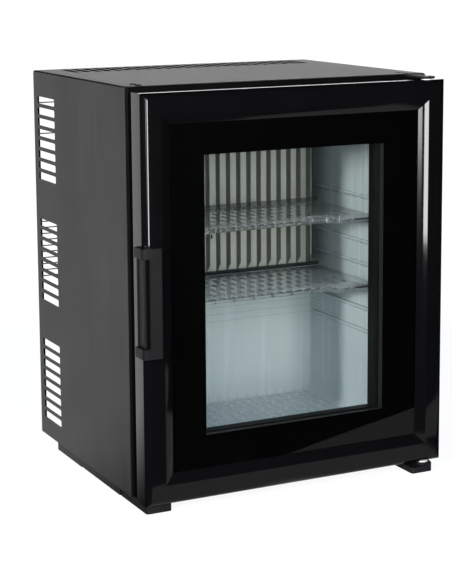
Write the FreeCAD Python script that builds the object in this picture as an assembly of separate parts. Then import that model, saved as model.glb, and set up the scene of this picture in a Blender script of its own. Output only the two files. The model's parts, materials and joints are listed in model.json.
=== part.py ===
# Glass door minibar fridge of about 40 litres, hinged on the right, with a thermoelectric cooler.
# Millimetres. X points right, Y to the back, Z up. The origin is on the floor, in the middle of
# the cabinet's width and of the whole depth from the handle's face to the rear edge.
import FreeCAD, Part
import os

Vec = FreeCAD.Vector

# Whole cabinet
cabinet_width = 448.0
shell_height = 537.0
rear_space = 84.0
foot_height = 13.0
door_gap = 17.5
door_thickness = 35.5
door_top_drop = 5.4
door_base_lift = 0.2
running_gap = 0.3
cut_overrun = 2.0

# Painted steel shell, folded from one sheet
sheet = 1.0
top_edge_radius = 3.0
front_flange = 12.0
rear_flange = 8.0
top_rear_flange = 30.0

# Vent slots in the sides, the top and the base
side_slot_height = 10.3
side_slot_pitch = 15.6
side_slot_count = 8
side_group_count = 3
side_group_lift = 26.5
side_group_drop = 36.0
side_vent_margin = 1.0
side_vent_rear_margin = 15.4
top_slot_width = 10.3
top_slot_pitch = 15.9
top_slot_margin = 35.0
top_vent_margin = 8.0
top_vent_rear_margin = 13.0
slot_corner_radius = 2.5

# Base pan and rear panel
base_upstand = 12.0
rear_panel_thickness = 1.0

# Inner liner with its shelf rails
liner_wall = 1.8
side_wall = 51.0
end_wall = 40.0
compartment_depth = 230.0
liner_corner_radius = 12.0
liner_back_radius = 4.0
liner_flange = 14.0
rail_count = 7
rail_pitch = 32.3
first_rail_lift = 128.0
rail_reach = 6.0
rail_face = 2.0
rail_drop = 8.0
rail_front_setback = 20.0
rail_rear_gap = 16.0

# Foam behind the liner
back_insulation = 21.2

# Plastic frame around the cabinet's mouth
front_frame_thickness = 4.0
front_frame_inset = 1.0
front_frame_chamfer = 1.5
front_frame_reveal = 4.0

# Door moulding
door_wall = 3.0
door_edge_radius = 8.6
border_width = 27.0
bevel_width = 13.0
bevel_drop = 7.0
lip_thickness = 1.0
lip_bearing = 9.5
bevel_wall_start = 26.0

# Glazing
outer_glass_thickness = 4.0
inner_glass_thickness = 4.0
glass_rebate = 6.0
print_thickness = 0.3
print_side_margin = 90.5
print_end_margin = 82.1
spacer_width = 10.0
spacer_depth = 12.0
spacer_cover = 1.5

# Rear half of the door
inner_plate = 2.5
inner_rise = 7.5
rise_start = 44.0
rise_slope = 4.0
rise_plate_start = 49.5
slope_wall_start = 45.5
aperture_side_margin = 95.0
aperture_end_margin = 81.7
aperture_wall = 3.0
glazing_bead_width = 12.0
glazing_bead_thickness = 2.0

# Door gasket with its magnets
gasket_inset = 25.0
gasket_width = 14.0
gasket_waist = 2.5
gasket_base = 3.5
gasket_head = 6.7
magnet_inset = 4.0
magnet_width = 6.0
magnet_height = 3.0
magnet_cover = 1.5

# Hinges
axis_side_inset = 24.0
axis_face_inset = 11.0
pin_radius = 3.0
pin_clearance = 0.05
pin_engagement = 10.0
pin_head_rise = 0.8
bush_wall = 2.0
bush_length = 12.0
bush_flange = 2.5
hinge_plate = 3.0
hinge_plate_half_width = 11.0
hinge_plate_nose = 10.0
hinge_plate_tail = 48.0
lower_plate_drop = 2.0
lower_plate_overlap = 2.0
lower_plate_skid_gap = 1.0
hinge_screw_setback = 12.0
hinge_screw_spacing = 18.0
hinge_screw_radius = 2.0
hinge_screw_head_radius = 4.0
hinge_screw_head = 0.9
hinge_screw_length = 14.0

# Handle on the door's free edge
handle_stand_off = 12.0
handle_side_proud = 7.0
handle_lift = 198.1
handle_height = 141.0
handle_reach = 19.2
handle_wrap = 16.5
handle_arm = 13.0
handle_window = 3.7
handle_bar_thickness = 5.0
handle_corner_radius = 5.0
handle_base_plate = 1.5
handle_rim = 1.5
handle_rim_proud = 1.5
grip_corner_radius = 3.5
handle_screw_radius = 2.0
handle_screw_length = 12.0
handle_screw_head_radius = 3.5
handle_screw_head = 2.0
handle_screw_inset = 12.0

# Feet and skids
skid_inset = 3.0
skid_width = 38.0
skid_start = 46.0
skid_rear_gap = 59.0
skid_pad_length = 94.0
skid_arch = 1.0
skid_seam_drop = 1.0
skid_seam_height = 1.2
skid_seam_depth = 1.5
left_foot_inset = 5.0
left_foot_width = 36.0
left_foot_reach = 39.0
left_foot_door_gap = 1.2
right_foot_inset = 17.0
right_foot_width = 33.0
right_foot_reach = 56.5
foot_corner_radius = 4.0
stop_block_width = 10.0
stop_block_depth = 4.5
stop_block_gap = 0.9
foot_screw_radius = 2.0
foot_screw_head_radius = 4.0
foot_screw_head = 2.5
foot_screw_recess_radius = 5.0
foot_screw_recess = 4.0
foot_screw_bite = 8.0
foot_screw_margin = 20.0

# Clear shelves
shelf_plate = 3.0
shelf_plate_lift = 3.5
shelf_side_gap = 1.5
shelf_rear_gap = 26.0
shelf_front_setback = 32.0
shelf_notch_setback = 50.0
shelf_arm_width = 68.0
shelf_corner_radius = 8.0
shelf_lip_height = 12.0
shelf_lip_thickness = 2.5
shelf_rib_thickness = 1.6
shelf_rib_length = 6.0
shelf_rib_pitch = 30.0
shelf_rib_count = 6
shelf_slot_width = 6.0
shelf_slot_pitch = 15.0
shelf_slot_length = 16.0
shelf_slot_rows = 5
shelf_slot_columns = 20
shelf_slot_row_pitch = 28.0
shelf_slot_rear_margin = 10.0
shelf_slot_radius = 2.0
lower_shelf_rail_count = 2
upper_shelf_rail_count = 5

# Cold side of the cooler
cold_base = 5.0
cold_side_gap = 5.0
cold_sink_lift = 240.0
cold_sink_drop = 27.0
cold_fin_depth = 15.0
cold_fin_thickness = 1.6
cold_fin_pitch = 16.71
cold_fin_start = 13.5
cold_fin_chamfer = 14.0
cold_end_rib = 1.6
cold_end_rib_depth = 6.0
gutter_gap = 4.0
gutter_height = 10.0
gutter_depth = 23.0
gutter_wall = 1.5
gutter_end_gap = 0.5
sensor_width = 2.4
sensor_height = 6.0
sensor_corner_radius = 0.8
sensor_lift = 289.0
cold_block_side = 80.0
module_side = 40.0
module_thickness = 3.8

# Hot side of the cooler
hot_sink_width = 300.0
hot_sink_height = 200.0
hot_base = 10.0
hot_fin_rear_gap = 22.0
hot_fin_thickness = 1.6
hot_fin_pitch = 10.0
hot_fin_margin = 4.0
heat_pipe_radius = 3.0
heat_pipe_count = 4
heat_pipe_pitch = 30.0
heat_pipe_end_gap = 10.0
sink_screw_radius = 2.0
sink_screw_head_radius = 3.5
sink_screw_head = 2.5
sink_screw_spacing = 60.0
sink_screw_bite = 10.0
panel_window_gap = 2.0

# Wire guard across the rear
wire_radius = 0.9
stay_radius = 1.5
wire_end_gap = 2.0
wire_pitch = 8.97
wire_count = 10
wire_lift = 235.0
upper_wire_drop = 47.0
upper_wire_pitch = 45.0
upper_wire_count = 2
stay_spacing = 150.0
stay_count = 3
stay_overhang = 4.0

# Control box with the mains inlet
box_width = 180.0
box_height = 100.0
box_rear_gap = 18.0
box_wall = 2.0
box_lid = 2.0
box_corner_radius = 4.0
board_thickness = 1.6
board_margin = 8.0
board_stand_off = 6.0
board_post_radius = 3.0
component_heights = (22.0, 14.0, 9.0)
component_widths = (34.0, 26.0, 18.0)
component_gap = 14.0
component_height_lift = 24.0
component_rise = 36.0
inlet_width = 27.0
inlet_height = 20.0
inlet_wall = 2.0
inlet_depth = 18.0
inlet_flange = 3.0
inlet_flange_thickness = 2.0
inlet_side_shift = 55.0
inlet_pin_thickness = 2.0
inlet_pin_height = 4.0
inlet_pin_length = 12.0
inlet_pin_pitch = 7.0
lid_screw_radius = 1.5
lid_screw_head_radius = 3.0
lid_screw_head = 2.0
lid_screw_length = 10.0
lid_screw_margin = 7.0

# Planes that follow from the sizes above
left = -cabinet_width / 2
right = cabinet_width / 2
shell_depth = compartment_depth + liner_wall + back_insulation + rear_panel_thickness + rear_space
overall_depth = handle_stand_off + door_thickness + door_gap + shell_depth
shell_back = overall_depth / 2
shell_front = shell_back - shell_depth
skid_end = shell_depth - skid_rear_gap
skid_pad_start = skid_end - skid_pad_length
shell_bottom = foot_height
shell_top = foot_height + shell_height
door_back = shell_front - door_gap
door_front = door_back - door_thickness
door_bottom = shell_bottom + door_base_lift
door_top = shell_top - door_top_drop
liner_left = left + side_wall
liner_right = right - side_wall
liner_floor = shell_bottom + end_wall
liner_ceiling = shell_top - end_wall
liner_back = shell_front + compartment_depth
foam_back = liner_back + liner_wall + back_insulation
panel_back = foam_back + rear_panel_thickness
base_top = shell_bottom + sheet
frame_front = shell_front - front_frame_thickness
axis_x = right - axis_side_inset
axis_y = door_front + axis_face_inset
top_plate_bottom = shell_top - sheet - hinge_plate
lower_plate_top = shell_bottom - lower_plate_drop
lower_plate_bottom = lower_plate_top - hinge_plate
bush_radius = pin_radius + pin_clearance + bush_wall
aperture = (aperture_side_margin, aperture_end_margin)


# Shape helpers
def block(xs, ys, zs):
    """A box from its low and high values along each axis."""
    corner = Vec(xs[0], ys[0], zs[0])
    return Part.makeBox(xs[1] - xs[0], ys[1] - ys[0], zs[1] - zs[0], corner)


def runs_along(edge, axis):
    """True where an edge is straight and parallel to an axis, 0 for X, 1 for Y and 2 for Z."""
    ends = [v.Point for v in edge.Vertexes]
    if len(ends) != 2:
        return False
    step = ends[1] - ends[0]
    slack_share = 0.001
    return all(abs(step[i]) < edge.Length * slack_share for i in range(3) if i != axis)


def near(value, target):
    """True where two lengths agree to a small share of the sheet's thickness."""
    tolerance_share = 0.01
    return abs(value - target) < sheet * tolerance_share


def rounded(shape, radius, axis, keep=None):
    """Round the edges along an axis, or those whose middle a test keeps."""
    chosen = [e for e in shape.Edges if runs_along(e, axis)]
    if keep:
        chosen = [e for e in chosen if keep(e.BoundBox.Center)]
    return shape.makeFillet(radius, chosen)


def rod(start, end, radius):
    """A round bar between two points."""
    run = Vec(*end) - Vec(*start)
    return Part.makeCylinder(radius, run.Length, Vec(*start), run)


def cut_all(shape, tools):
    """Take several tools away from a shape."""
    return shape.cut(Part.makeCompound(list(tools)))


def fuse_all(shapes):
    """Join touching shapes into one and clean the seams."""
    return shapes[0].multiFuse(shapes[1:]).removeSplitter()


def mitred_ring(profile, xs, zs, front):
    """A rectangular frame with mitred corners. Each profile point gives how far it lies
    inside the rectangle, at the sides and at the ends, and how far behind the front plane."""
    loops = []
    for side, end, depth in profile:
        x0, x1 = xs[0] + side, xs[1] - side
        z0, z1 = zs[0] + end, zs[1] - end
        y = front + depth
        loops.append([Vec(x0, y, z0), Vec(x1, y, z0), Vec(x1, y, z1), Vec(x0, y, z1)])
    faces = []
    for here, after in zip(loops, loops[1:] + loops[:1]):
        for k in range(4):
            m = (k + 1) % 4
            corners = [here[k], here[m], after[m], after[k]]
            faces.append(Part.Face(Part.makePolygon(corners + corners[:1])))
    solid = Part.Solid(Part.makeShell(faces))
    if solid.Volume < 0:
        solid.reverse()
    return solid


def centred(count, pitch):
    """The places of equal steps on both sides of zero."""
    return [(i - (count - 1) / 2) * pitch for i in range(count)]


def side_slots():
    """Bars that cut the side vents through both side walls at once."""
    bars = []
    group_height = (side_slot_count - 1) * side_slot_pitch + side_slot_height
    group_room = shell_height - side_group_lift - side_group_drop - group_height
    side_group_pitch = group_room / (side_group_count - 1)
    ys = (panel_back + side_vent_margin, shell_back - side_vent_rear_margin)
    for group in range(side_group_count):
        group_bottom = shell_bottom + side_group_lift + group * side_group_pitch
        for slot in range(side_slot_count):
            low = group_bottom + slot * side_slot_pitch
            xs = (left - cut_overrun, right + cut_overrun)
            bar = block(xs, ys, (low, low + side_slot_height))
            bars.append(rounded(bar, slot_corner_radius, 0))
    return bars


def vent_slots(low, high):
    """Bars that cut the row of vents through the top sheet or the base pan."""
    bars = []
    ys = (panel_back + top_vent_margin, shell_back - top_vent_rear_margin)
    room = cabinet_width - 2 * top_slot_margin - top_slot_width
    for x in centred(int(room / top_slot_pitch) + 1, top_slot_pitch):
        xs = (x - top_slot_width / 2, x + top_slot_width / 2)
        bar = block(xs, ys, (low - cut_overrun, high + cut_overrun))
        bars.append(rounded(bar, slot_corner_radius, 2))
    return bars


# Hinge pieces, made first because other pieces are cut to fit them
def hinge_plate_outline(y_tail, low):
    """A flat plate with a round nose about the hinge axis."""
    xs = (axis_x - hinge_plate_half_width, axis_x + hinge_plate_half_width)
    ys = (axis_y - hinge_plate_nose, y_tail)
    plate = block(xs, ys, (low, low + hinge_plate))
    middle = (ys[0] + ys[1]) / 2
    return rounded(plate, hinge_plate_nose, 2, lambda c: c.y < middle)


def hinge_screw_places(x):
    """The two screws of a top hinge, one behind the other."""
    first = shell_front + hinge_screw_setback
    return [(x, first + i * hinge_screw_spacing) for i in range(2)]


def countersunk_screws(places, top, length):
    """Low headed screws that point down from a surface."""
    screws = []
    for x, y in places:
        head = rod((x, y, top), (x, y, top + hinge_screw_head), hinge_screw_head_radius)
        shank = rod((x, y, top - length), (x, y, top), hinge_screw_radius)
        screws.append(fuse_all([head, shank]))
    return screws


top_pin = rod((axis_x, axis_y, door_top - pin_engagement),
              (axis_x, axis_y, shell_top - sheet + pin_head_rise), pin_radius)
lower_pin = rod((axis_x, axis_y, lower_plate_bottom),
                (axis_x, axis_y, door_bottom + pin_engagement), pin_radius)
top_screws = countersunk_screws(hinge_screw_places(axis_x), shell_top, hinge_screw_length)
top_plugs = countersunk_screws(hinge_screw_places(-axis_x), shell_top, hinge_plate)
top_hinge = hinge_plate_outline(shell_front + hinge_plate_tail, top_plate_bottom)
top_hinge = cut_all(top_hinge, [top_pin] + top_screws)
lower_nose = hinge_plate_outline(shell_front + lower_plate_overlap, lower_plate_bottom)
lower_tail = block((axis_x - hinge_plate_half_width, axis_x + hinge_plate_half_width),
                   (shell_front - lower_plate_overlap, shell_front + skid_start - lower_plate_skid_gap),
                   (shell_bottom - hinge_plate, shell_bottom))


def lower_hinge_screw_set():
    """Two screws that hold the lower plate to the base pan, with their heads in the foot."""
    screws = []
    for x, y in hinge_screw_places(axis_x):
        plate_low = shell_bottom - hinge_plate
        head = rod((x, y, plate_low - hinge_screw_head), (x, y, plate_low), hinge_screw_head_radius)
        shank = rod((x, y, plate_low), (x, y, plate_low + hinge_screw_length), hinge_screw_radius)
        screws.append(fuse_all([head, shank]))
    return screws


lower_screws = lower_hinge_screw_set()
lower_hinge = cut_all(fuse_all([lower_nose, lower_tail]), [lower_pin] + lower_screws)


# Feet and skids
def foot_screw_set(points):
    """Screws that hold a foot from below, each in its own recess."""
    screws = []
    recesses = []
    for x, y in points:
        seat = foot_screw_recess
        head_top = seat + foot_screw_head
        head = rod((x, y, seat), (x, y, head_top), foot_screw_head_radius)
        shank = rod((x, y, head_top), (x, y, shell_bottom + foot_screw_bite), foot_screw_radius)
        screws.append(fuse_all([head, shank]))
        recesses.append(rod((x, y, -cut_overrun), (x, y, seat), foot_screw_recess_radius))
    return screws, recesses


def make_skid(outer_x, side):
    """A long rail under one side: side is 1 when it runs inwards to the right, else -1."""
    inner_x = outer_x + side * skid_width
    xs = sorted((outer_x, inner_x))
    ys = (shell_front + skid_start, shell_front + skid_end)
    rail = block(xs, ys, (0, shell_bottom))
    arch = block((xs[0] - cut_overrun, xs[1] + cut_overrun),
                 (ys[0] - cut_overrun, shell_front + skid_pad_start), (-cut_overrun, skid_arch))
    seam_top = shell_bottom - skid_seam_drop
    seam_xs = sorted((outer_x - side * cut_overrun, outer_x + side * skid_seam_depth))
    seam = block(seam_xs, (ys[0] - cut_overrun, ys[1] + cut_overrun),
                 (seam_top - skid_seam_height, seam_top))
    middle = (outer_x + inner_x) / 2
    points = [(middle, shell_front + skid_pad_start + foot_screw_margin),
              (middle, ys[1] - foot_screw_margin)]
    screws, recesses = foot_screw_set(points)
    return cut_all(rail, [arch, seam] + recesses + screws), screws


def make_left_foot():
    """The front left foot, which reaches forward under the door."""
    xs = (left + left_foot_inset, left + left_foot_inset + left_foot_width)
    rear = block(xs, (shell_front, shell_front + skid_start), (0, shell_bottom))
    front = block(xs, (shell_front - left_foot_reach, shell_front), (0, door_bottom - left_foot_door_gap))
    front = rounded(front, foot_corner_radius, 2, lambda c: c.y < shell_front - left_foot_reach / 2)
    middle = (xs[0] + xs[1]) / 2
    screws, recesses = foot_screw_set([(middle, shell_front + foot_screw_margin)])
    return cut_all(fuse_all([rear, front]), recesses + screws), screws


def make_right_foot():
    """The front right foot, which carries the lower hinge plate and a door stop."""
    x1 = right - right_foot_inset
    xs = (x1 - right_foot_width, x1)
    ys = (shell_front - right_foot_reach, shell_front)
    rear = block(xs, (shell_front, shell_front + skid_start), (0, shell_bottom))
    front = block(xs, ys, (0, lower_plate_bottom))
    front = rounded(front, foot_corner_radius, 2, lambda c: c.y < ys[0] + right_foot_reach / 2)
    stop_top = door_bottom - stop_block_gap
    stop = block((x1 - stop_block_width, x1), (ys[0], ys[0] + stop_block_depth),
                 (lower_plate_bottom, stop_top))
    stop = rounded(stop, foot_corner_radius, 2, lambda c: near(c.y, ys[0]) and near(c.x, x1))
    point = (xs[0] + foot_screw_recess_radius + skid_inset, shell_front + foot_screw_margin)
    screws, recesses = foot_screw_set([point])
    foot = fuse_all([rear, front, stop])
    tools = [lower_nose, lower_tail, lower_pin] + lower_screws + recesses + screws
    return cut_all(foot, tools), screws


skid_left, left_skid_screws = make_skid(left + skid_inset, 1)
skid_right, right_skid_screws = make_skid(right - skid_inset, -1)
foot_front_left, left_foot_screws = make_left_foot()
foot_front_right, right_foot_screws = make_right_foot()
foot_screws = left_skid_screws + right_skid_screws + left_foot_screws + right_foot_screws


# Cooler pieces that pass through the liner and the foam
cold_block_back = panel_back - module_thickness
half_block = cold_block_side / 2
half_module = module_side / 2
cold_sink_xs = (liner_left + cold_side_gap, liner_right - cold_side_gap)
cold_sink_zs = (shell_bottom + cold_sink_lift, liner_ceiling - cold_sink_drop)
module_z = (cold_sink_zs[0] + cold_sink_zs[1]) / 2
cold_block = block((-half_block, half_block), (liner_back, cold_block_back),
                   (module_z - half_block, module_z + half_block))
peltier_module = block((-half_module, half_module), (cold_block_back, panel_back),
                       (module_z - half_module, module_z + half_module))


def sink_screw_places():
    """The four screws around the module."""
    return [(x, module_z + z) for x in centred(2, sink_screw_spacing)
            for z in centred(2, sink_screw_spacing)]


def make_sink_screws():
    """Screws that clamp the hot sink to the cold block."""
    screws = []
    base_back = panel_back + hot_base
    for x, z in sink_screw_places():
        head = rod((x, base_back, z), (x, base_back + sink_screw_head, z), sink_screw_head_radius)
        shank = rod((x, cold_block_back - sink_screw_bite, z), (x, base_back, z), sink_screw_radius)
        screws.append(fuse_all([head, shank]))
    return screws


hot_sink_screws = make_sink_screws()
cold_block = cut_all(cold_block, hot_sink_screws)


def cold_fin_places():
    """The fins' middles, as many as the plate has room for."""
    first = cold_sink_xs[0] + cold_fin_start
    room = cold_sink_xs[1] - first - cold_fin_thickness
    return [first + i * cold_fin_pitch for i in range(int(room / cold_fin_pitch) + 1)]


def make_cold_sink():
    """A ribbed aluminium plate on the compartment's back wall."""
    xs, zs = cold_sink_xs, cold_sink_zs
    plate_front = liner_back - cold_base
    pieces = [block(xs, (plate_front, liner_back), zs)]
    tip = plate_front - cold_fin_depth
    outline = [Vec(0, plate_front, zs[0]), Vec(0, plate_front, zs[1]), Vec(0, tip, zs[1]),
               Vec(0, tip, zs[0] + cold_fin_chamfer),
               Vec(0, tip + cold_fin_chamfer, zs[0])]
    face = Part.Face(Part.makePolygon(outline + outline[:1]))
    fin = face.extrude(Vec(cold_fin_thickness, 0, 0))
    for x in cold_fin_places():
        pieces.append(fin.translated(Vec(x - cold_fin_thickness / 2, 0, 0)))
    for rib_xs in ((xs[0], xs[0] + cold_end_rib), (xs[1] - cold_end_rib, xs[1])):
        pieces.append(block(rib_xs, (plate_front - cold_end_rib_depth, plate_front), zs))
    return fuse_all(pieces)


def make_gutter():
    """A channel under the cold plate that catches the drips."""
    inset = rail_reach + gutter_end_gap
    xs = (liner_left + inset, liner_right - inset)
    top = shell_bottom + cold_sink_lift - gutter_gap
    ys = (liner_back - gutter_depth, liner_back)
    outer = block(xs, ys, (top - gutter_height, top))
    inner = block((xs[0] + gutter_wall, xs[1] - gutter_wall),
                  (ys[0] + gutter_wall, ys[1] - gutter_wall),
                  (top - gutter_height + gutter_wall, top + cut_overrun))
    return outer.cut(inner)


def make_sensor():
    """A small temperature bead stuck on the cold plate between two fins."""
    fins = cold_fin_places()
    x = fins[len(fins) // 2] - cold_fin_pitch / 2
    plate_front = liner_back - cold_base
    z = shell_bottom + sensor_lift
    bead = block((x - sensor_width / 2, x + sensor_width / 2), (plate_front - sensor_width, plate_front),
                 (z, z + sensor_height))
    return rounded(bead, sensor_corner_radius, 2, lambda c: c.y < plate_front - sensor_width / 2)


# Sheet metal
def make_outer_shell():
    """The shell: two sides and the top, with folded flanges at the mouth and at the rear."""
    body = block((left, right), (shell_front, shell_back), (shell_bottom, shell_top))
    body = rounded(body, top_edge_radius, 1, lambda c: near(c.z, shell_top))
    inner_top = shell_top - sheet
    hollow = block((left + sheet, right - sheet), (shell_front + sheet, shell_back - sheet),
                   (shell_bottom - cut_overrun, inner_top))
    hollow = rounded(hollow, top_edge_radius - sheet, 1, lambda c: near(c.z, inner_top))
    mouth = block((left + front_flange, right - front_flange),
                  (shell_front - cut_overrun, shell_front + sheet + cut_overrun),
                  (shell_bottom - cut_overrun, shell_top - front_flange))
    rear = block((left + rear_flange, right - rear_flange),
                 (shell_back - sheet - cut_overrun, shell_back + cut_overrun),
                 (shell_bottom - cut_overrun, shell_top - top_rear_flange))
    tools = [hollow, mouth, rear] + side_slots() + vent_slots(inner_top, shell_top)
    return cut_all(body, tools + [top_hinge] + top_screws + top_plugs)


def make_base_pan():
    """The base pan: a vented tray between the shell's sides."""
    xs = (left + sheet, right - sheet)
    ys = (shell_front + sheet, shell_back - sheet)
    tray = block(xs, ys, (shell_bottom, shell_bottom + base_upstand))
    inside = block((xs[0] + sheet, xs[1] - sheet), (ys[0] - cut_overrun, ys[1] + cut_overrun),
                   (base_top, shell_bottom + base_upstand + cut_overrun))
    tools = [inside] + vent_slots(shell_bottom, base_top) + foot_screws + lower_screws
    return cut_all(tray, tools)


def make_rear_panel():
    """The sheet that closes the foam, with a window for the cooler."""
    panel = block((left + sheet, right - sheet), (foam_back, panel_back),
                  (base_top, shell_top - sheet - top_edge_radius))
    half = half_block + panel_window_gap
    window = block((-half, half), (foam_back - cut_overrun, panel_back + cut_overrun),
                   (module_z - half, module_z + half))
    return panel.cut(window).cut(base_pan)


# Liner, foam and the frame at the mouth
def liner_body(grow):
    """The compartment's form, grown outwards by a wall and open at the front."""
    xs = (liner_left - grow, liner_right + grow)
    ys = (shell_front - cut_overrun, liner_back + grow)
    zs = (liner_floor - grow, liner_ceiling + grow)
    form = block(xs, ys, zs)
    form = rounded(form, liner_corner_radius + grow, 1)
    back = [e for e in form.Edges if near(e.BoundBox.YMin, ys[1]) and near(e.BoundBox.YMax, ys[1])]
    return form.makeFillet(liner_back_radius + grow, back)


def rail_top(index):
    """The height of one rail's upper face."""
    return liner_floor + first_rail_lift + index * rail_pitch


def make_rail(wall_x, side, top):
    """A ledge on one wall with a sloping underside: side is 1 when it points right."""
    tip = wall_x + side * rail_reach
    root = wall_x - side * liner_wall / 2
    outline = [(root, top), (tip, top), (tip, top - rail_face), (root, top - rail_drop)]
    points = [Vec(x, shell_front + rail_front_setback, z) for x, z in outline]
    face = Part.Face(Part.makePolygon(points + points[:1]))
    length = compartment_depth - rail_front_setback - rail_rear_gap
    return face.extrude(Vec(0, length, 0))


def make_liner():
    """The moulded compartment with a flange at its mouth and seven rails on each side."""
    outer = liner_body(liner_wall)
    flange = block((liner_left - liner_flange, liner_right + liner_flange),
                   (shell_front, shell_front + liner_wall),
                   (liner_floor - liner_flange, liner_ceiling + liner_flange))
    body = fuse_all([outer, flange])
    trim = block((left, right), (shell_front - overall_depth, shell_front), (0, shell_top))
    body = cut_all(body, [liner_body(0), trim])
    rails = []
    for index in range(rail_count):
        rails.append(make_rail(liner_left, 1, rail_top(index)))
        rails.append(make_rail(liner_right, -1, rail_top(index)))
    return body.multiFuse(rails).cut(cold_block)


def make_insulation():
    """Foam between the liner, the shell and the rear panel."""
    xs = (left + sheet, right - sheet)
    foam = block(xs, (shell_front + liner_wall, foam_back), (base_top, shell_top - sheet))
    foam = rounded(foam, top_edge_radius - sheet, 1, lambda c: near(c.z, shell_top - sheet))
    tools = [liner_body(liner_wall), cold_block, peltier_module, top_hinge, base_pan]
    return cut_all(foam, tools + hot_sink_screws + top_screws + top_plugs + foot_screws + lower_screws)


def make_front_frame():
    """The black plastic frame that covers the shell's front edge."""
    inset = front_frame_inset
    step = front_frame_inset + front_frame_chamfer
    side = side_wall - front_frame_reveal
    end = end_wall - front_frame_reveal
    profile = [(step, step, 0), (inset, inset, front_frame_chamfer),
               (inset, inset, front_frame_thickness), (side, end, front_frame_thickness),
               (side, end, 0)]
    frame = mitred_ring(profile, (left, right), (shell_bottom, shell_top), frame_front)
    return frame.cut(top_hinge)


# Door
door_xs = (left, right)
door_zs = (door_bottom, door_top)
glass_edge = border_width + bevel_width - glass_rebate
glass_front = bevel_drop + lip_thickness
print_front = glass_front + outer_glass_thickness
spacer_front = print_front + print_thickness
inner_glass_front = spacer_front + spacer_depth
inner_frame_front = inner_glass_front + inner_glass_thickness
spacer_side = print_side_margin - spacer_cover
spacer_end = print_end_margin - spacer_cover


def door_pane(side, end, low, high):
    """A flat pane inside the door's outline."""
    return block((left + side, right - side), (door_front + low, door_front + high),
                 (door_bottom + end, door_top - end))


def make_bush(seat, way):
    """A flanged bush for a hinge pin: way is 1 when it goes up into the door, else -1."""
    flange_height = abs(seat - (top_plate_bottom if way < 0 else lower_plate_top)) - running_gap
    body = rod((axis_x, axis_y, seat), (axis_x, axis_y, seat + way * bush_length), bush_radius)
    flange = rod((axis_x, axis_y, seat - way * flange_height), (axis_x, axis_y, seat),
                 bush_radius + bush_flange)
    bore = rod((axis_x, axis_y, seat - way * bush_length), (axis_x, axis_y, seat + way * bush_length),
               pin_radius + pin_clearance)
    return fuse_all([body, flange]).cut(bore), body


door_top_bush, top_bush_hole = make_bush(door_top, -1)
door_bottom_bush, bottom_bush_hole = make_bush(door_bottom, 1)


# Handle
handle_zs = (shell_bottom + handle_lift, shell_bottom + handle_lift + handle_height)
handle_x1 = left + handle_reach
handle_front = door_front - handle_stand_off
wrap_back = door_front + handle_wrap
base_front = door_front - handle_base_plate
base_left = left - handle_base_plate
grip_zs = (handle_zs[0] + handle_arm, handle_zs[1] - handle_arm)


def make_handle_screws():
    """Screws from inside the door that hold the handle's two arms."""
    screws = []
    start = door_front + door_wall
    for z in (handle_zs[0] + handle_arm / 2, handle_zs[1] - handle_arm / 2):
        x = left + handle_screw_inset
        head = rod((x, start, z), (x, start + handle_screw_head, z), handle_screw_head_radius)
        shank = rod((x, start - handle_screw_length, z), (x, start, z), handle_screw_radius)
        screws.append(fuse_all([head, shank]))
    return screws


handle_screws = make_handle_screws()


def make_handle():
    """The grip: a flat bar on two arms that wrap round the door's edge."""
    outer = block((left - handle_side_proud, handle_x1), (handle_front, wrap_back - handle_rim), handle_zs)
    outer = rounded(outer, handle_corner_radius, 2, lambda c: c.y < door_front and c.x < left)
    core = block((base_left, handle_x1 + cut_overrun), (base_front, wrap_back + cut_overrun),
                 (0, shell_top))
    window_xs = (left - handle_side_proud - cut_overrun, left + handle_window)
    window = block(window_xs, (handle_front - cut_overrun, wrap_back), grip_zs)
    window = rounded(window, grip_corner_radius, 1,
                     lambda c: near(c.x, window_xs[1]) and near(c.z, grip_zs[0]))
    gap = block((left, handle_x1 + cut_overrun), (handle_front + handle_bar_thickness, wrap_back), grip_zs)
    return cut_all(outer, [core, window, gap] + handle_screws)


def make_handle_base():
    """The thin corner plate behind the grip, with a raised rim at its rear edge."""
    plate = block((base_left, handle_x1), (base_front, wrap_back), handle_zs)
    rim = block((base_left - handle_rim_proud, left), (wrap_back - handle_rim, wrap_back), handle_zs)
    core = block((left, handle_x1 + cut_overrun), (door_front, wrap_back + cut_overrun), (0, shell_top))
    return cut_all(fuse_all([plate, rim]), [core] + handle_screws)


def make_door_frame():
    """The glossy front moulding: a flat border, an inward bevel and the door's four edges."""
    window = border_width + bevel_width
    bearing = window - lip_bearing
    profile = [(0, 0, 0), (border_width, border_width, 0), (window, window, bevel_drop),
               (window, window, glass_front), (bearing, bearing, glass_front),
               (bevel_wall_start, bevel_wall_start, door_wall),
               (door_edge_radius, door_edge_radius, door_wall),
               (door_wall, door_wall, door_edge_radius),
               (door_wall, door_wall, door_thickness), (0, 0, door_thickness)]
    frame = mitred_ring(profile, door_xs, door_zs, door_front)
    outer_edges = [e for e in frame.Edges
                   if near(e.BoundBox.YMax, door_front) and near(e.BoundBox.YMin, door_front)
                   and (near(e.BoundBox.XMax, left) or near(e.BoundBox.XMin, right)
                        or near(e.BoundBox.ZMax, door_bottom) or near(e.BoundBox.ZMin, door_top))]
    frame = frame.makeFillet(door_edge_radius, outer_edges)
    return cut_all(frame, [top_bush_hole, bottom_bush_hole] + handle_screws)


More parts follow.
